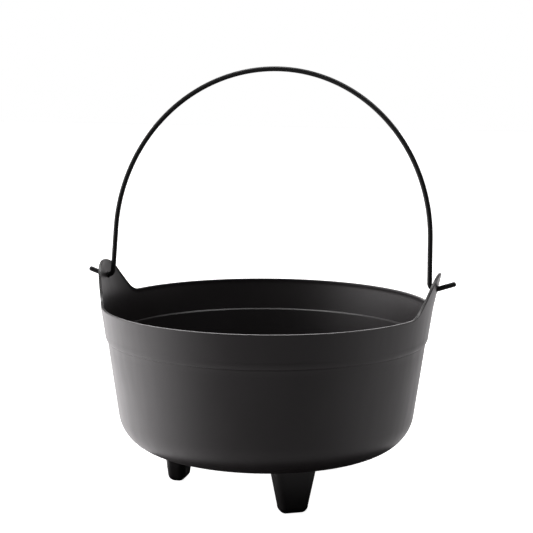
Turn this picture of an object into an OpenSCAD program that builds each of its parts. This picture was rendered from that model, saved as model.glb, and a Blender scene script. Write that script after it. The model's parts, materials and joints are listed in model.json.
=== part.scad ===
// Three-legged cauldron planter: a moulded pot with two ears, three hollow push-in feet and a wire bail.
// Millimetres, +Z up. The origin is on the floor, on the pot's axis. The ears lie along X, the front is -Y.

/* [Pot] */
// Outer diameter at the rim
rim_d = 300; // [240:1:360]
// Height of the rim above the underside of the base
pot_depth = 128.5; // [100:0.5:170]
// Wall thickness of the pot, measured level
wall = 2; // [1.6:0.1:3]
// Thickness of the base
base_t = 2; // [1.6:0.1:4]
// Height of the plain band below the rim
band_h = 24; // [12:0.5:40]
// Height over which the shoulder curves in below the band
shoulder_h = 6.5; // [4:0.5:10]
// How far the shoulder comes in
shoulder_in = 2.3; // [1:0.1:4]
// Draft of the band, in degrees from upright
band_draft = 8.4; // [4:0.1:12]
// Draft of the wall below the shoulder, in degrees from upright
body_draft = 8; // [4:0.1:12]
// Outer radius of the round between wall and base
base_round = 34.5; // [15:0.5:45]

/* [Ears] */
// Height of an ear above the rim
ear_h = 34.5; // [28:0.5:45]
// Radius of an ear's rounded top
ear_tip_r = 30; // [24:0.5:34]
// Slope of an ear's flanks, in degrees below level
ear_slope = 50; // [42:1:58]
// Radius that blends a flank into the rim
ear_fillet_r = 19; // [10:1:30]
// Extra outward lean of the ears past the band's draft, in degrees
ear_lean = 4; // [0:0.1:6]
// Distance from an ear's top down to the middle of its bail hole
hole_drop = 14.5; // [9:0.5:20]
// Diameter of the bail holes
hole_d = 6.2; // [5.8:0.1:7.2]

/* [Feet] */
// Height of a foot, from the floor to the underside of the base
foot_h = 41.5; // [30:0.5:60]
// Level distance from a foot's top to the round of the base
foot_edge = 5.5; // [3:0.1:18]
// Width of a foot at the bottom, across the spoke
foot_w_bottom = 26.5; // [20:0.5:32]
// Width of a foot at the top, across the spoke
foot_w_top = 39.5; // [32:0.5:46]
// Depth of a foot at the bottom, along the spoke
foot_d_bottom = 17; // [15:0.5:22]
// Depth of a foot at the top, along the spoke
foot_d_top = 23; // [19:0.5:28]
// Radius of a foot's corners and of its bottom edge
foot_corner_r = 6; // [4:0.5:7]
// Wall thickness of a foot
foot_wall = 2; // [1.5:0.1:3]
// Diameter of the snap pegs on top of a foot
peg_d = 6; // [5:0.5:6.5]
// Distance between the two snap pegs of a foot
peg_gap = 11; // [9:0.5:12]
// How far a peg's head reaches past the peg all round
peg_lip = 1; // [0.6:0.1:1.5]
// Height of a peg's head inside the pot
peg_head_h = 2; // [1.5:0.1:3]
// Clearance round a peg in its hole
peg_clear = 0.1; // [0.05:0.05:0.3]

/* [Bail] */
// Diameter of the wire with its coat
wire_d = 4.2; // [3.2:0.1:4.6]
// Gap between a limb of the bail and the ear that it passes
limb_gap = 4.8; // [3:0.1:8]
// Height of the straight limbs above the hinge line
limb_h = 47.6; // [20:0.2:110]
// Radius of the bends at the ears, on the wire's centre line
bend_r = 5.5; // [4.5:0.1:7]
// How far the ends rise from level, in degrees
end_rise = 18.4; // [10:0.1:35]
// Length of the straight cranked ends
end_len = 19; // [12:0.5:28]
// Rounding of the cut ends of the wire
end_round = 1; // [0.5:0.1:1.4]
// How far the bail leans back from upright, in degrees
bail_lean = 8.5; // [0:0.5:40]

/* [Hidden] */
$fn = 96;
pot_black = "#1c1c1d";
foot_black = "#151516";
wire_black = "#101011";

rim_r = rim_d / 2;
base_z = foot_h;
rim_z = base_z + pot_depth;
ear_top_z = rim_z + ear_h;
hole_h = ear_h - hole_drop;
hinge_z = rim_z + hole_h;

// radii where the wall changes direction
band_low_r = rim_r - band_h * tan(band_draft);
body_top_r = band_low_r - shoulder_in;
body_top_z = rim_z - band_h - shoulder_h;
ear_flare = tan(band_draft + ear_lean);

// centre of the round between wall and base, tangent to both
round_z = base_z + base_round;
round_r = body_top_r - (body_top_z - round_z) * tan(body_draft) - base_round / cos(body_draft);
shoulder_steps = 8;
round_steps = 14;

// feet, the left one under the left ear and the others a third of a turn apart
foot_angles = [180, -60, 60];
foot_circle_r = round_r - foot_edge - foot_d_top / 2;
foot_slab = 0.2;
peg_sink = 1;
corner_sides = 32;

// the bail clears the inner face of the ear at the height of the holes
ear_inner_r = rim_r + hole_h * ear_flare - wall;
bail_r = ear_inner_r - limb_gap - wire_d / 2;
// the wire rises through the ear, and it crosses the hinge line in the middle of the wall
wall_mid_d = limb_gap + wire_d / 2 + wall / 2 - bend_r;
bend_z = bend_r - wire_rise(wall_mid_d);
limb_len = limb_h - bend_z;
cut_margin = 5;

// height of the wire's centre line above the lowest point of its bend, at a level distance past it
function wire_rise(d) = d < bend_r * sin(end_rise)
    ? bend_r - sqrt(pow(bend_r, 2) - pow(d, 2))
    : bend_r * (1 - cos(end_rise)) + (d - bend_r * sin(end_rise)) * tan(end_rise);

// outer radius of the wall on the smooth shoulder, t from 0 at the band to 1 at the lower wall
function shoulder_r(t) = band_low_r - shoulder_in * (1 - cos(180 * t)) / 2;

// points down one face of the wall, set in by a level distance and stopping at a round of the given radius
function wall_points(inset, r_round, top) = concat(
    [[rim_r + (top - rim_z) * ear_flare - inset, top], [rim_r - inset, rim_z]],
    [for (i = [0:shoulder_steps])
        let (t = i / shoulder_steps)
        [shoulder_r(t) - inset, rim_z - band_h - shoulder_h * t]],
    [for (i = [0:round_steps])
        let (a = -body_draft - (90 - body_draft) * i / round_steps)
        [round_r + r_round * cos(a), round_z + r_round * sin(a)]]
);

module wall_profile() {
    outer = wall_points(0, base_round, ear_top_z + cut_margin);
    inner = wall_points(wall, base_round - base_t, ear_top_z + cut_margin);
    polygon(concat(
        outer,
        [[0, base_z], [0, base_z + base_t]],
        [for (i = [len(inner) - 1:-1:0]) inner[i]]
    ));
}

// one ear seen along X, with the rim at height 0: round top, straight flanks and blends into the rim
module ear_outline() {
    tip_z = ear_h - ear_tip_r;
    reach = tip_z * cos(ear_slope) + ear_tip_r;
    blend_y = (reach + ear_fillet_r * (1 - cos(ear_slope))) / sin(ear_slope);
    shoulder_y = ear_tip_r * sin(ear_slope);
    shoulder_z = tip_z + ear_tip_r * cos(ear_slope);
    foot_y = blend_y - ear_fillet_r * sin(ear_slope);
    foot_z = ear_fillet_r * (1 - cos(ear_slope));
    low_z = tip_z - ear_tip_r - cut_margin;
    translate([0, tip_z]) circle(ear_tip_r);
    difference() {
        polygon([
            [-blend_y, low_z], [blend_y, low_z], [blend_y, 0], [foot_y, foot_z],
            [shoulder_y, shoulder_z], [-shoulder_y, shoulder_z], [-foot_y, foot_z], [-blend_y, 0]
        ]);
        for (side = [-1, 1])
            translate([side * blend_y, ear_fillet_r]) circle(ear_fillet_r);
    }
}

// all that is cut off above the rim, so that only the ears stand
module above_rim() {
    translate([0, 0, rim_z])
        rotate([90, 0, 90])
            linear_extrude(3 * rim_r, center = true)
                difference() {
                    translate([-1.5 * rim_r, 0]) square([3 * rim_r, ear_h + 3 * cut_margin]);
                    ear_outline();
                }
}

// children go to each of a foot's two peg places, in the foot's own frame
module at_pegs() {
    for (side = [-1, 1])
        translate([0, side * peg_gap / 2, 0]) children();
}

// children go to the place of foot number i
module at_foot(i) {
    rotate([0, 0, foot_angles[i]])
        translate([foot_circle_r, 0, 0]) children();
}

module pot_shell() {
    color(pot_black)
        difference() {
            rotate_extrude() wall_profile();
            above_rim();
            translate([0, 0, hinge_z])
                rotate([0, 90, 0])
                    cylinder(h = 3 * rim_r, d = hole_d, center = true);
            for (i = [0:len(foot_angles) - 1])
                at_foot(i)
                    at_pegs()
                        translate([0, 0, base_z - cut_margin])
                            cylinder(h = base_t + 2 * cut_margin, d = peg_d + 2 * peg_clear);
        }
}

// a foot's tapered body, each side set in by the given wall, with round corners and a round bottom edge
module foot_body(inset, z_low, z_high, corner_r) {
    low = [foot_d_bottom / 2 - inset, foot_w_bottom / 2 - inset];
    high = [foot_d_top / 2 - inset, foot_w_top / 2 - inset];
    hull() {
        for (x = [-1, 1], y = [-1, 1]) {
            translate([x * (low[0] - corner_r), y * (low[1] - corner_r), z_low + corner_r])
                sphere(corner_r, $fn = corner_sides);
            translate([x * (high[0] - corner_r), y * (high[1] - corner_r), z_high - foot_slab])
                cylinder(h = foot_slab, r = corner_r, $fn = corner_sides);
        }
        translate([0, 0, z_low + foot_slab / 2])
            cube([2 * (low[0] - corner_r), 2 * (low[1] - corner_r), foot_slab], center = true);
    }
}

// a snap peg: a post from the floor of the foot, and a tapered head that grips the base from inside
module snap_peg() {
    head_z = base_z + base_t;
    translate([0, 0, foot_wall - peg_sink])
        cylinder(h = head_z - foot_wall + peg_sink, d = peg_d);
    translate([0, 0, head_z])
        cylinder(h = peg_head_h, d1 = peg_d + 2 * peg_lip, d2 = peg_d - peg_lip);
}

module foot(i) {
    at_foot(i) {
        difference() {
            foot_body(0, 0, foot_h, foot_corner_r);
            foot_body(foot_wall, foot_wall, foot_h + cut_margin, foot_corner_r - foot_wall);
        }
        at_pegs() snap_peg();
    }
}

module foot_left() {
    color(foot_black) foot(0);
}

module foot_front() {
    color(foot_black) foot(1);
}

module foot_rear() {
    color(foot_black) foot(2);
}

// a straight end of the wire, with its cut edge rounded
module wire_end() {
    rotate_extrude()
        union() {
            square([wire_d / 2 - end_round, end_len]);
            square([wire_d / 2, end_len - end_round]);
            intersection() {
                translate([wire_d / 2 - end_round, end_len - end_round]) circle(end_round);
                square([wire_d / 2, end_len]);
            }
        }
}

// one side of the bail below the arch's centre: straight limb, bend through the ear and cranked end
module bail_side() {
    translate([bail_r, 0, -limb_len])
        cylinder(h = limb_len, d = wire_d);
    translate([bail_r + bend_r, 0, -limb_len])
        rotate([90, 0, 0])
            rotate([0, 0, 180]) {
                rotate_extrude(angle = 90 + end_rise)
                    translate([bend_r, 0]) circle(d = wire_d);
                rotate([0, 0, 90 + end_rise])
                    translate([bend_r, 0, 0])
                        rotate([-90, 0, 0])
                            wire_end();
            }
}

module wire_bail() {
    color(wire_black)
        translate([0, 0, hinge_z])
            rotate([-bail_lean, 0, 0])
                translate([0, 0, limb_h]) {
                    rotate([90, 0, 0])
                        rotate_extrude(angle = 180)
                            translate([bail_r, 0]) circle(d = wire_d);
                    bail_side();
                    mirror([1, 0, 0]) bail_side();
                }
}

pot_shell();
foot_left();
foot_front();
foot_rear();
wire_bail();
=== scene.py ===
import json
import math

import bpy
import numpy as np
from mathutils import Matrix, Vector


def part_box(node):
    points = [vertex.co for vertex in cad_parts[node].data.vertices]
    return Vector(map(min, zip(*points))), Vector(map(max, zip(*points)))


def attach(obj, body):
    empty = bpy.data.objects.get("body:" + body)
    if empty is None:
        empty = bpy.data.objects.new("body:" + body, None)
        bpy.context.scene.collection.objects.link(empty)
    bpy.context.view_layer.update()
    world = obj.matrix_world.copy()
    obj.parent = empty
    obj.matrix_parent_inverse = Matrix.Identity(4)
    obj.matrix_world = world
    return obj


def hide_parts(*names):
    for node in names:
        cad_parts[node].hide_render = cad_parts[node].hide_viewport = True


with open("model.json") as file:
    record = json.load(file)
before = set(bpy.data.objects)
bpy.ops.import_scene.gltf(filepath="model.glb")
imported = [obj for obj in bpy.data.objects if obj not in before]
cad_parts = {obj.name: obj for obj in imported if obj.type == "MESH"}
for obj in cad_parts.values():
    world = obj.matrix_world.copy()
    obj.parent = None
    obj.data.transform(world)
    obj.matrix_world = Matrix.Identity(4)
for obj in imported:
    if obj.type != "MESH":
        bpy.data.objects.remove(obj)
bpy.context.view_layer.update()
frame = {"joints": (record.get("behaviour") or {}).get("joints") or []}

# Pot: one thin-walled moulding of black polypropylene, with its two ears in one with the wall.
# It comes off an upright core, so every wall has draft. The step in the wall, a shoulder outside and a
# ledge inside, stiffens it, and the lip and the ears' edges are slightly rounded where the mould parts.
mm = 0.001
pot_low, pot_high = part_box("pot_shell")
base_z, rim_r, ear_top_z = pot_low.z, pot_high.y, pot_high.z
wall_t = 2 * mm
base_t = 2 * mm
ear_h = 34.5 * mm
rim_z = ear_top_z - ear_h
band_h = 24 * mm
band_slope = math.tan(math.radians(8.4))
ear_slope_out = math.tan(math.radians(12.4))
shoulder_h = 6.5 * mm
shoulder_in = 2.3 * mm
bead_h = 1.7 * mm
bead_out = 0.1 * mm
wall_slope = math.tan(math.radians(8))
round_r = 34.5 * mm
ledge_drop = 29.2 * mm
ledge_h = 1.2 * mm
lip_h = 0.7 * mm
lip_w = 2.6 * mm
lip_taper = 3 * mm
ear_tip_r = 30 * mm
ear_blend_r = 19 * mm
ear_flank = math.radians(50)
ear_lean_h = 2 * mm
hinge = Vector(frame["joints"][0]["pos_m"])
hole_r = 3.1 * mm
hole_columns = 48
drill_reach = rim_r + 20 * mm
pot_columns = 512
pot_crisp_from = math.radians(50)

shoulder_top_z = rim_z - band_h
shoulder_low_z = shoulder_top_z - shoulder_h
band_low_r = rim_r - band_h * band_slope
wall_top_r = band_low_r - shoulder_in
round_z = base_z + round_r
round_mid_r = wall_top_r - (shoulder_low_z - round_z) * wall_slope - round_r / math.cos(math.atan(wall_slope))


def ear_edge(y):
    """Height of the pot's edge above the rim, y being the distance from an ear's middle: a round top,
    a straight flank tangent to it, and a hollow arc tangent to the flank and to the rim."""
    tip_mid = ear_h - ear_tip_r
    reach = tip_mid * math.cos(ear_flank) + ear_tip_r + ear_blend_r * (1 - math.cos(ear_flank))
    blend_y = reach / math.sin(ear_flank)
    top_end = ear_tip_r * math.sin(ear_flank)
    flank_end = blend_y - ear_blend_r * math.sin(ear_flank)
    tip = tip_mid + np.sqrt(np.maximum(ear_tip_r ** 2 - y ** 2, 0))
    flank = tip_mid + ear_tip_r * math.cos(ear_flank) - (y - top_end) * math.tan(ear_flank)
    blend = ear_blend_r - np.sqrt(np.maximum(ear_blend_r ** 2 - (blend_y - y) ** 2, 0))
    return np.where(y < top_end, tip, np.where(y < flank_end, flank, np.where(y < blend_y, blend, 0)))


def band_r(z):
    """Outer radius of the band at height z: a cone that leans out further above the rim, in the ears. The
    change of slope is soft, lean * log(1 + exp(height / lean - 1)), lean being the height it takes."""
    band = rim_r + (z - rim_z) * band_slope
    height = np.clip((z - rim_z) / ear_lean_h - 1, -30, 60)
    ears = (ear_slope_out - band_slope) * ear_lean_h * np.log1p(np.exp(height))
    return band + ears


def outer_wall_r(z):
    """Outer radius of the wall at height z: the band, a soft shoulder under it that ends in a crease, a
    faint bead below the crease, and the lower cone."""
    t = np.clip((shoulder_top_z - z) / shoulder_h, 0, 1)
    shoulder = band_low_r - shoulder_in * (0.6 * t ** 2 + 0.4 * (1 - np.sqrt(1 - t ** 4)))
    b = np.clip((shoulder_low_z - z) / bead_h, 0, 1)
    lower = wall_top_r + (z - shoulder_low_z) * wall_slope + bead_out * np.sqrt(np.sin(math.pi * b))
    return np.where(z > shoulder_top_z, band_r(z), np.where(z > shoulder_low_z, shoulder, lower))


def inner_wall_r(z):
    """Inner radius of the wall at height z: a wall's thickness inside the band and the lower cone, with
    one short, steep cosine step between them as the ledge."""
    lower = wall_top_r + (z - shoulder_low_z) * wall_slope
    t = np.clip((rim_z - ledge_drop - z) / ledge_h, 0, 1)
    step = (1 - np.cos(math.pi * t)) / 2
    return band_r(z) * (1 - step) + lower * step - wall_t


def ring_quads(rows, columns):
    """Faces between neighbouring rings of a grid: point j of ring i has the number i * columns + j, and
    the last column joins the first."""
    i, j = np.meshgrid(np.arange(rows - 1), np.arange(columns), indexing="ij")
    k = (j + 1) % columns
    quads = np.stack([i * columns + j, i * columns + k, (i + 1) * columns + k, (i + 1) * columns + j], -1)
    return quads.reshape(-1, 4)


def turned_shell(name, radius, angle, height, first_z, last_z):
    """Mesh of a grid of points at radius * (cos, sin) of angle and at height, closed round the columns, with
    a point on the axis at first_z inside the first ring and one at last_z inside the last."""
    rows, columns = radius.shape
    points = np.stack([radius * np.cos(angle), radius * np.sin(angle), height], -1).reshape(-1, 3)
    first, last, top = len(points), len(points) + 1, (rows - 1) * columns
    points = np.vstack([points, [[0, 0, first_z], [0, 0, last_z]]])
    ring = np.arange(columns)
    following = (ring + 1) % columns
    faces = ring_quads(rows, columns).tolist()
    faces += np.stack([np.full(columns, first), following, ring], -1).tolist()
    faces += np.stack([np.full(columns, last), top + ring, top + following], -1).tolist()
    mesh = bpy.data.meshes.new(name)
    mesh.from_pydata(points.tolist(), [], faces)
    mesh.shade_smooth()
    return mesh


def moulded_pot():
    """Rows of points up the outside, over the lip and down the inside, and columns round the axis. From
    the shoulder up the rows share out the height to the edge, so that they rise into the ears."""
    angle = np.linspace(0, 2 * math.pi, pot_columns, endpoint=False)[None, :]
    edge_z = np.full_like(angle, rim_z)
    for _ in range(12):
        edge_z = rim_z + ear_edge(np.abs(outer_wall_r(edge_z) * np.sin(angle)))
    lip_z = edge_z - lip_h
    ones = np.ones_like(angle)

    base_r = np.array([4, 16, 32, 48, 64, 80, 94]) * mm
    turn = np.linspace(-math.pi / 2, -math.atan(wall_slope), 20)
    inner_r = round_r - base_t
    outer_round = (round_mid_r + round_r * np.cos(turn), round_z + round_r * np.sin(turn))
    inner_round = (round_mid_r + inner_r * np.cos(turn), round_z + inner_r * np.sin(turn))
    lower_z = np.linspace(outer_round[1][-1], shoulder_low_z - bead_h, 14)[1:]
    bead_z = shoulder_low_z - bead_h * np.linspace(1, 0, 9)[1:]
    shoulder_z = shoulder_low_z + shoulder_h * (1 - np.cos(np.linspace(0, math.pi / 2, 15)))[1:]
    share = np.linspace(0, 1, 26)[1:, None]
    over = np.linspace(0, math.pi, 15)[1:-1, None]

    outer_z = np.concatenate([lower_z, bead_z, shoulder_z])[:, None] * ones
    band_z = shoulder_z[-1] + share * (lip_z - shoulder_z[-1])
    lip_mid = outer_wall_r(lip_z) - lip_w / 2
    lip_r = lip_mid + lip_w / 2 * np.sign(np.cos(over)) * np.abs(np.cos(over)) ** 0.5
    lip_rise = lip_z + lip_h * np.sin(over) ** 0.5

    ledge_top = rim_z - ledge_drop
    down_z = lip_z + np.linspace(0, 1, 28)[:, None] ** 1.7 * (ledge_top + 1 * mm - lip_z)
    down_r = inner_wall_r(down_z) - (lip_w - wall_t) * np.exp(-2 * ((lip_z - down_z) / lip_taper) ** 2)
    ledge_z = np.linspace(ledge_top + 0.5 * mm, ledge_top - ledge_h - 0.5 * mm, 14)
    inner_low_z = np.linspace(ledge_z[-1], inner_round[1][-1], 14)[1:-1]
    inner_z = np.concatenate([ledge_z, inner_low_z])[:, None] * ones

    flat = np.ones((len(base_r), 1)) * ones
    radius = np.vstack([
        base_r[:, None] * ones, outer_round[0][:, None] * ones, outer_wall_r(outer_z), outer_wall_r(band_z),
        lip_r, down_r, inner_wall_r(inner_z), inner_round[0][::-1, None] * ones, base_r[::-1, None] * ones,
    ])
    height = np.vstack([
        base_z * flat, outer_round[1][:, None] * ones, outer_z, band_z,
        lip_rise, down_z, inner_z, inner_round[1][::-1, None] * ones, (base_z + base_t) * flat,
    ])
    mesh = turned_shell("moulded_pot", radius, angle, height, base_z, base_z + base_t)
    return bpy.data.objects.new("moulded_pot", mesh)


def drilled(body, radius, reach):
    """A copy of body's mesh with one round hole cut through it along X on the hinge line, reach being how
    far the drill goes to each side of the middle."""
    turn = np.linspace(0, 2 * math.pi, hole_columns, endpoint=False)
    ring = np.stack([0 * turn, radius * np.cos(turn), radius * np.sin(turn)], -1) + np.array(hinge)
    drill_points = np.vstack([ring - [reach, 0, 0], ring + [reach, 0, 0]])
    ends = [list(range(hole_columns))[::-1], list(range(hole_columns, 2 * hole_columns))]
    drill_mesh = bpy.data.meshes.new("drill")
    drill_mesh.from_pydata(drill_points.tolist(), [], ring_quads(2, hole_columns).tolist() + ends)
    drill = bpy.data.objects.new("drill", drill_mesh)
    bpy.context.scene.collection.objects.link(drill)
    cut = body.modifiers.new("bail_holes", "BOOLEAN")
    cut.object, cut.operation, cut.solver = drill, "DIFFERENCE", "EXACT"
    bpy.context.view_layer.update()
    result = bpy.data.meshes.new_from_object(body.evaluated_get(bpy.context.evaluated_depsgraph_get()))
    body.modifiers.clear()
    bpy.data.objects.remove(drill)
    return result


def linear(srgb_hex):
    """Linear RGBA of an sRGB hex colour: each channel c becomes c / 12.92 below 0.04045, and otherwise
    ((c + 0.055) / 1.055) to the power 2.4."""
    channels = [int(srgb_hex[i:i + 2], 16) / 255 for i in (1, 3, 5)]
    return [c / 12.92 if c <= 0.04045 else ((c + 0.055) / 1.055) ** 2.4 for c in channels] + [1.0]


def add_node(tree, kind, links=None, **settings):
    """Adds a node of that kind to the tree, sets its sockets and properties by name, links the given
    sockets from (node, output) pairs, and returns it."""
    node = tree.nodes.new(kind)
    for name, value in settings.items():
        if name in node.bl_rna.properties:
            setattr(node, name, value)
        else:
            node.inputs[name.replace("_", " ")].default_value = value
    for name, (source, output) in (links or {}).items():
        tree.links.new(source.outputs[output], node.inputs[name])
    return node


def satin_polypropylene(name, colour, worn_colour, roughness, specular):
    """Black moulded polypropylene. The mould's spark-eroded steel leaves a fine grain that spreads the
    gloss to a satin sheen, handling polishes it unevenly, and the black shows next to no colour."""
    material = bpy.data.materials.new(name)
    material.use_nodes = True
    tree = material.node_tree
    shader = tree.nodes["Principled BSDF"]
    place = add_node(tree, "ShaderNodeTexCoord")
    # grain about 0.6 mm across, coarser than the real one so that it still shows close up
    grain = add_node(
        tree, "ShaderNodeTexNoise", {"Vector": (place, "Object")}, Scale=1 / (0.6 * mm), Detail=3.0,
    )
    # uneven gloss in patches about 40 mm across, and long faint flow lines about 7 mm wide up the wall
    patches = add_node(
        tree, "ShaderNodeTexNoise", {"Vector": (place, "Object")}, Scale=1 / (40 * mm), Detail=4.0,
    )
    stretch = add_node(tree, "ShaderNodeMapping", {"Vector": (place, "Object")}, Scale=(1, 1, 0.08))
    flow = add_node(
        tree, "ShaderNodeTexNoise", {"Vector": (stretch, "Vector")}, Scale=1 / (7 * mm), Detail=2.0,
    )
    mixed = add_node(tree, "ShaderNodeMath", {0: (patches, "Fac"), 1: (flow, "Fac")}, operation="ADD")
    uneven = 0.03
    gloss = add_node(
        tree, "ShaderNodeMapRange", {"Value": (mixed, "Value")},
        From_Min=0.7, From_Max=1.3, To_Min=roughness - uneven, To_Max=roughness + uneven,
    )
    tint = add_node(tree, "ShaderNodeMapRange", {"Value": (patches, "Fac")}, From_Min=0.45, From_Max=0.75)
    paint = add_node(tree, "ShaderNodeMix", {"Factor": (tint, "Result")}, data_type="RGBA")
    paint.inputs["A"].default_value = linear(colour)
    paint.inputs["B"].default_value = linear(worn_colour)
    bump = add_node(tree, "ShaderNodeBump", {"Height": (grain, "Fac")}, Strength=0.25, Distance=0.05 * mm)
    tree.links.new(paint.outputs["Result"], shader.inputs["Base Color"])
    tree.links.new(gloss.outputs["Result"], shader.inputs["Roughness"])
    tree.links.new(bump.outputs["Normal"], shader.inputs["Normal"])
    shader.inputs["IOR"].default_value = 1.49
    shader.inputs["Specular IOR Level"].default_value = specular
    return material


pot = moulded_pot()
bpy.context.scene.collection.objects.link(pot)
pot.data = drilled(pot, hole_r, drill_reach)
pot.data.set_sharp_from_angle(angle=pot_crisp_from)
pot.data.materials.clear()
pot.data.materials.append(satin_polypropylene(
    "pot_satin_polypropylene", "#1d1a1b", worn_colour="#221f20", roughness=0.42, specular=0.5,
))
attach(pot, "pot")
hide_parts("pot_shell")

# Feet: three hollow mouldings of the same black polypropylene, each pushed up into the pot's floor. Their
# colour is set darker than the pot's, as painted shade for their place under the pot.
# Each is a tapered block with round corners and a round bottom edge, and two split pegs with wide heads
# pass through the floor and grip it from inside.
foot_h = base_z
foot_corner_r = 6.5 * mm
foot_low_half = (8.5 * mm, 13.25 * mm)
foot_high_half = (11.5 * mm, 19.75 * mm)
foot_ring_r = -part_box("foot_left")[0].x - foot_high_half[0]
foot_turns = {"foot_left": 180, "foot_front": -60, "foot_rear": 60}
foot_columns = 96
foot_flatness = 6
peg_r = 3 * mm
peg_root = 1 * mm
peg_spread = 5.5 * mm
peg_play = 0.05 * mm
peg_head_r = 4 * mm
peg_head_h = 2 * mm
peg_brim_h = 0.4 * mm
peg_nose = 0.2 * mm
peg_top_in = 0.5 * mm
peg_columns = 32
small_crisp_from = math.radians(40)


def on_spoke(out, aside, level, turn):
    """Points on the spoke that stands turn degrees round the pot's axis: (out, aside), the distances along
    the spoke and square to it, turned by that angle, at the height level."""
    side = math.radians(turn)
    x = out * math.cos(side) - aside * math.sin(side)
    y = out * math.sin(side) + aside * math.cos(side)
    return np.stack([x, y, level + 0 * out], -1)


def foot_skin(turn):
    """A foot's outside: each level is a rounded rectangle, a straight-sided one blown up by a corner
    radius, which shrinks along a quarter round below the corner's height. Columns follow the outline."""
    around = np.linspace(0, 2 * math.pi, foot_columns, endpoint=False)[None, :]
    dip = np.linspace(0, math.pi / 2, 12)[:, None]
    rise = np.linspace(0, 1, 14)[1:, None]
    level = np.vstack([foot_corner_r * (1 - np.cos(dip)), foot_corner_r + rise * (foot_h - foot_corner_r)])
    corner = np.vstack([foot_corner_r * np.sin(dip), foot_corner_r + 0 * rise])
    grow = np.clip((level - foot_corner_r) / (foot_h - foot_corner_r), 0, 1)
    half_x = foot_low_half[0] + grow * (foot_high_half[0] - foot_low_half[0]) - foot_corner_r
    half_y = foot_low_half[1] + grow * (foot_high_half[1] - foot_low_half[1]) - foot_corner_r
    # direction cosines pushed towards the corners, so that the flat sides stay flat and the corners round
    across, along = np.cos(around), np.sin(around)
    square = np.clip(np.stack([across, along]) * foot_flatness, -1, 1)
    x = half_x * square[0] + corner * across
    y = half_y * square[1] + corner * along
    return on_spoke(foot_ring_r + x, y, level, turn)


def foot_peg(turn, offset):
    """A peg with its tapered head, as a profile turned about the peg's axis: post, overhang, taper, top."""
    inside_z = base_z + base_t
    head_z = inside_z + peg_play
    top_z = inside_z + peg_head_h
    profile = np.array([
        (peg_r, base_z - peg_root), (peg_r, head_z),
        (peg_head_r, head_z), (peg_head_r, inside_z + peg_brim_h),
        (peg_r - peg_nose, top_z - peg_nose), (peg_r - peg_top_in, top_z),
    ])
    around = np.linspace(0, 2 * math.pi, peg_columns, endpoint=False)[None, :]
    x = foot_ring_r + profile[:, :1] * np.cos(around)
    y = offset + profile[:, :1] * np.sin(around)
    return on_spoke(x, y, profile[:, 1:], turn)


def joined_rings(name, grids):
    """One mesh of several grids of rings, each closed round its columns and by a flat face at both ends."""
    points, faces, start = [], [], 0
    for grid in grids:
        rows, columns = grid.shape[:2]
        ring = np.arange(columns)
        faces += (start + ring_quads(rows, columns)).tolist()
        faces.append((start + ring[::-1]).tolist())
        faces.append((start + (rows - 1) * columns + ring).tolist())
        points.append(grid.reshape(-1, 3))
        start += rows * columns
    mesh = bpy.data.meshes.new(name)
    mesh.from_pydata(np.vstack(points).tolist(), [], faces)
    mesh.shade_smooth()
    mesh.set_sharp_from_angle(angle=small_crisp_from)
    return mesh


# the pot's polypropylene in a darker colour and worn colour: painted shade for the feet, which stand in the
# shadow under the pot
foot_material_with_painted_shade = satin_polypropylene(
    "foot_polypropylene_with_painted_shade", "#151314", worn_colour="#191617", roughness=0.42, specular=0.45,
)
for foot_name, foot_turn in foot_turns.items():
    skins = [foot_skin(foot_turn), foot_peg(foot_turn, -peg_spread), foot_peg(foot_turn, peg_spread)]
    foot = bpy.data.objects.new("moulded_" + foot_name, joined_rings("moulded_" + foot_name, skins))
    bpy.context.scene.collection.objects.link(foot)
    foot.data.materials.append(foot_material_with_painted_shade)
    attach(foot, "pot")
    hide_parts(foot_name)

# Bail: one length of steel wire in a black baked coat, 4.5 mm across over it, bent by machine and sprung
# into the ears. A high arch runs down into two straight limbs that stand a little apart, and each limb turns
# outward through its ear's hole and ends in a short straight stub that rises, so that it can't slip back out.
wire_r = 2.25 * mm
arch_half = 146.35 * mm
arch_rise = 153.35 * mm
arch_mid_h = 39.5 * mm
limb_splay = math.radians(1.5)
bail_lean = math.radians(-8.5)
bend_r = 5.5 * mm
bend_h = 5.5 * mm
stub_rise = math.radians(18.4)
stub_len = 16.9 * mm
stub_round = 1.8 * mm
wire_columns = 28


def bail_centre_line():
    """Points of the wire's centre in the bail's own plane, across and up from the hinge, for one side and
    then its mirror image: a stub, a round bend, a limb that leans in as it rises, and a quarter of an
    ellipse that starts where its own tangent has the limb's lean."""
    start = math.atan(math.tan(limb_splay) * arch_rise / arch_half)
    turn = np.linspace(start, math.pi / 2, 70)
    arch = np.stack([arch_half * np.cos(turn), arch_mid_h + arch_rise * np.sin(turn)], -1)
    limb_x = arch[0, 0] + (arch[0, 1] - bend_h) * math.tan(limb_splay)
    bend_mid = np.array([limb_x + bend_r / math.cos(limb_splay), bend_h])
    sweep = np.linspace(math.radians(270) + stub_rise, math.pi + limb_splay, 22)
    bend = bend_mid + bend_r * np.stack([np.cos(sweep), np.sin(sweep)], -1)
    way = np.linspace(1, 0, 16)[:-1, None]
    stub = bend[0] + way * stub_len * np.array([math.cos(stub_rise), math.sin(stub_rise)])
    limb = bend[-1] + np.linspace(0, 1, 13)[1:-1, None] * (arch[0] - bend[-1])
    half = np.vstack([stub, bend, limb, arch])
    return np.vstack([half, half[-2::-1] * [-1, 1]])


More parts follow.
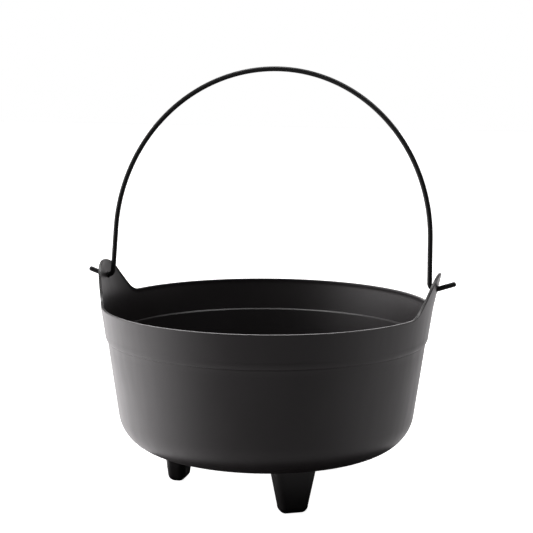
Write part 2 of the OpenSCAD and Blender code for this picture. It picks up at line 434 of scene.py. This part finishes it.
def swept_wire(name, line, radius, end_round):
    """A round tube along a plane line: rings square to the line, shrinking along a quarter round at its
    two ends. The line is turned from its own plane to the bail's lean about the hinge."""
    step = np.gradient(line, axis=0)
    run = np.concatenate([[0], np.cumsum(np.linalg.norm(np.diff(line, axis=0), axis=1))])
    tip = np.linspace(0, math.pi / 2, 6)[:-1]
    tip_run = end_round * (1 - np.cos(tip))
    between = run[(run > end_round) & (run < run[-1] - end_round)]
    stations = np.concatenate([tip_run, between, (run[-1] - tip_run)[::-1]])
    across = np.stack([np.interp(stations, run, line[:, k]) for k in (0, 1)], -1)
    along = np.stack([np.interp(stations, run, step[:, k]) for k in (0, 1)], -1)
    along /= np.linalg.norm(along, axis=1, keepdims=True)
    normal = np.stack([-along[:, 1], along[:, 0]], -1)
    from_end = np.minimum(stations, run[-1] - stations)
    inset = np.clip(end_round - from_end, 0, end_round)
    ring_r = radius - end_round + np.sqrt(end_round ** 2 - inset ** 2)
    around = np.linspace(0, 2 * math.pi, wire_columns, endpoint=False)[None, :]
    side = ring_r[:, None] * np.cos(around)
    depth = ring_r[:, None] * np.sin(around)
    x = across[:, :1] + normal[:, :1] * side
    up = across[:, 1:] + normal[:, 1:] * side
    y = depth * math.cos(bail_lean) - up * math.sin(bail_lean)
    z = depth * math.sin(bail_lean) + up * math.cos(bail_lean) + hinge.z
    return joined_rings(name, [np.stack([x, y, z], -1)])


def coated_wire(name):
    """Black baked enamel on drawn steel wire. The coat is smooth and satin, a little thicker in places
    where it ran before it was baked, so its gloss is uneven along the wire."""
    material = bpy.data.materials.new(name)
    material.use_nodes = True
    tree = material.node_tree
    shader = tree.nodes["Principled BSDF"]
    place = add_node(tree, "ShaderNodeTexCoord")
    # ripples in the coat about 5 mm long, with a finer orange peel of about 0.8 mm
    ripple = add_node(
        tree, "ShaderNodeTexNoise", {"Vector": (place, "Object")}, Scale=1 / (5 * mm), Detail=2.0,
    )
    peel = add_node(
        tree, "ShaderNodeTexNoise", {"Vector": (place, "Object")}, Scale=1 / (0.8 * mm), Detail=1.0,
    )
    gloss = add_node(
        tree, "ShaderNodeMapRange", {"Value": (ripple, "Fac")},
        From_Min=0.35, From_Max=0.65, To_Min=0.42, To_Max=0.5,
    )
    swell = add_node(tree, "ShaderNodeMath", {0: (ripple, "Fac"), 1: (peel, "Fac")}, operation="ADD")
    bump = add_node(tree, "ShaderNodeBump", {"Height": (swell, "Value")}, Strength=0.12, Distance=0.05 * mm)
    shader.inputs["Base Color"].default_value = linear("#0d0d0e")
    tree.links.new(gloss.outputs["Result"], shader.inputs["Roughness"])
    tree.links.new(bump.outputs["Normal"], shader.inputs["Normal"])
    shader.inputs["IOR"].default_value = 1.5
    shader.inputs["Specular IOR Level"].default_value = 0.25
    return material


bail_mesh = swept_wire("bent_wire_bail", bail_centre_line(), wire_r, stub_round)
bail = bpy.data.objects.new("bent_wire_bail", bail_mesh)
bpy.context.scene.collection.objects.link(bail)
bail.data.materials.append(coated_wire("black_enamelled_wire"))
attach(bail, "bail")
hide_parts("wire_bail")

# Floor: a wide white board that fades into the white surroundings. The light that comes up from it is the
# tent's lowest wall, below, so the board itself lights nothing, shades nothing and shows in no reflection.
floor_half = 6.0
floor_corners = [(x * floor_half, y * floor_half, 0) for x, y in ((-1, -1), (1, -1), (1, 1), (-1, 1))]
floor_mesh = bpy.data.meshes.new("floor")
floor_mesh.from_pydata(floor_corners, [], [(0, 1, 2, 3)])
floor = bpy.data.objects.new("floor", floor_mesh)
bpy.context.scene.collection.objects.link(floor)
board = bpy.data.materials.new("white_board")
board.use_nodes = True
board_shader = board.node_tree.nodes["Principled BSDF"]
board_shader.inputs["Base Color"].default_value = linear("#f4f4f4")
board_shader.inputs["Roughness"].default_value = 0.9
board_shader.inputs["Emission Color"].default_value = (1, 1, 1, 1)
board_shader.inputs["Emission Strength"].default_value = 0.96
floor_mesh.materials.append(board)
floor.visible_glossy = False
floor.visible_diffuse = False
floor.visible_shadow = False

# the pot's own shade on the board: a dark disc a little to the right, away from the main light, which the
# camera doesn't see, and which only darkens what the pot and its feet get from below
shade_r = 0.14
shade_shift = 0.1
shade_depth = 0.1 * mm
shade_columns = 64
shade_turn = np.linspace(0, 2 * math.pi, shade_columns, endpoint=False)
shade_points = shade_r * np.stack([np.cos(shade_turn) + shade_shift, np.sin(shade_turn), 0 * shade_turn], -1)
shade_mesh = bpy.data.meshes.new("shade")
shade_mesh.from_pydata((shade_points - [0, 0, shade_depth]).tolist(), [], [list(range(shade_columns))])
shade = bpy.data.objects.new("shade", shade_mesh)
bpy.context.scene.collection.objects.link(shade)
dim = bpy.data.materials.new("board_in_shade")
dim.use_nodes = True
dim_shader = dim.node_tree.nodes["Principled BSDF"]
dim_shader.inputs["Base Color"].default_value = linear("#0a0a0a")
dim_shader.inputs["Roughness"].default_value = 0.9
shade_mesh.materials.append(dim)
shade.visible_camera = False

# Light: a white tent round the table. Its left wall is the main light, the walls at the back and right are
# weaker and stand low, and the front, where the camera looks in, is almost dark. Three boxes hang above.
world = bpy.data.worlds.new("white_tent")
bpy.context.scene.world = world
world.use_nodes = True
sky = world.node_tree
sky.nodes.clear()
direction = add_node(sky, "ShaderNodeTexCoord")
height = add_node(sky, "ShaderNodeSeparateXYZ", {"Vector": (direction, "Generated")})


def tent_wall(toward, glow, spread, full, gone):
    """Glow of one wall of the tent towards a direction d, glow * max(0, d . toward) ** spread, which falls
    to nothing between the heights full and gone of the direction. No height is over 1, so 2 and 3 leave a
    wall whole."""
    facing = add_node(sky, "ShaderNodeVectorMath", {0: (direction, "Generated")}, operation="DOT_PRODUCT")
    facing.inputs[1].default_value = Vector(toward).normalized()
    ahead = add_node(sky, "ShaderNodeMath", {0: (facing, "Value")}, operation="MAXIMUM")
    ahead.inputs[1].default_value = 0
    narrow = add_node(sky, "ShaderNodeMath", {0: (ahead, "Value")}, operation="POWER")
    narrow.inputs[1].default_value = spread
    band = add_node(
        sky, "ShaderNodeMapRange", {"Value": (height, "Z")}, interpolation_type="SMOOTHSTEP",
        From_Min=full, From_Max=gone, To_Min=glow, To_Max=0.0,
    )
    return add_node(
        sky, "ShaderNodeMath", {0: (narrow, "Value"), 1: (band, "Result")}, operation="MULTIPLY",
    )


walls = [
    # the left, whole and then its low part, and two patches between it and the front
    tent_wall((-0.98, 0.20, 0.00), 3.0, 2, 0.1, 0.9),
    tent_wall((-0.95, 0.19, -0.24), 0.15, 6, 2, 3),
    tent_wall((-0.81, -0.45, 0.37), 2.2, 20, 2, 3),
    tent_wall((-0.91, -0.38, 0.20), 1.2, 20, 2, 3),
    # between the back and the right, and the right
    tent_wall((0.59, 0.81, 0.00), 0.68, 2, -0.05, 0.15),
    tent_wall((1.00, -0.02, 0.00), 0.72, 6, 0.0, 0.2),
    # the back, and a narrow patch in it that lights the lip
    tent_wall((-0.24, 0.97, 0.00), 1.2, 4, 0.1, 0.6),
    tent_wall((-0.26, 0.94, 0.22), 2.4, 40, 2, 3),
    # the front, low down, and what comes up from the board
    tent_wall((-0.05, -0.93, -0.34), 0.2, 2, 2, 3),
    tent_wall((0.00, 0.00, -1.00), 0.36, 1, 2, 3),
]
glow = walls[0]
for wall in walls[1:]:
    glow = add_node(sky, "ShaderNodeMath", {0: (glow, "Value"), 1: (wall, "Value")}, operation="ADD")
tent = add_node(sky, "ShaderNodeBackground", {"Strength": (glow, "Value")}, Color=(1.0, 0.972, 0.984, 1))
white = add_node(sky, "ShaderNodeBackground", Color=(1, 1, 1, 1), Strength=1.0)
ray = add_node(sky, "ShaderNodeLightPath")
choose = add_node(sky, "ShaderNodeMixShader", {"Fac": (ray, "Is Camera Ray"), 1: (tent, 0), 2: (white, 0)})
add_node(sky, "ShaderNodeOutputWorld", {"Surface": (choose, 0)})

pot_middle = Vector((0, 0, 0.15))


def soft_box(name, place, size, power):
    """A square area lamp at a place, facing the middle of the pot."""
    lamp = bpy.data.lights.new(name, "AREA")
    lamp.shape = "SQUARE"
    lamp.size = size
    lamp.energy = power
    holder = bpy.data.objects.new(name, lamp)
    holder.location = place
    holder.rotation_euler = (pot_middle - Vector(place)).to_track_quat("-Z", "Y").to_euler()
    bpy.context.scene.collection.objects.link(holder)


# the boxes draw the light lines on the ledge, the lip and the ears' edges
soft_box("left_box", (-0.5, 0.2, 1.7), size=0.6, power=15)
soft_box("right_box", (0.55, 0.2, 1.7), size=0.6, power=13)
soft_box("back_box", (-0.35, 1.4, 1.6), size=1.0, power=2)

# Camera: in front of the pot and turned towards the right ear, a little above the rim, with a long lens.
camera_turn = math.radians(13.75)
camera_away = 1.3234
camera_h = 0.3991
camera_roll = 0.00666
aim = Vector((0, 0, 0.2038))
image_px = 533
focal_px = 1480.3
shift_px = (-0.7, 0.2)
camera_data = bpy.data.cameras.new("camera")
camera_data.sensor_width = 36
camera_data.lens = focal_px * camera_data.sensor_width / image_px
camera_data.shift_x = shift_px[0] / image_px
camera_data.shift_y = shift_px[1] / image_px
camera = bpy.data.objects.new("camera", camera_data)
stand = Vector((camera_away * math.sin(camera_turn), -camera_away * math.cos(camera_turn), camera_h))
look = (aim - stand).to_track_quat("-Z", "Y").to_matrix() @ Matrix.Rotation(camera_roll, 3, "Z")
camera.matrix_world = Matrix.Translation(stand) @ look.to_4x4()
bpy.context.scene.collection.objects.link(camera)
bpy.context.scene.camera = camera
bpy.context.scene.view_settings.view_transform = "Standard"
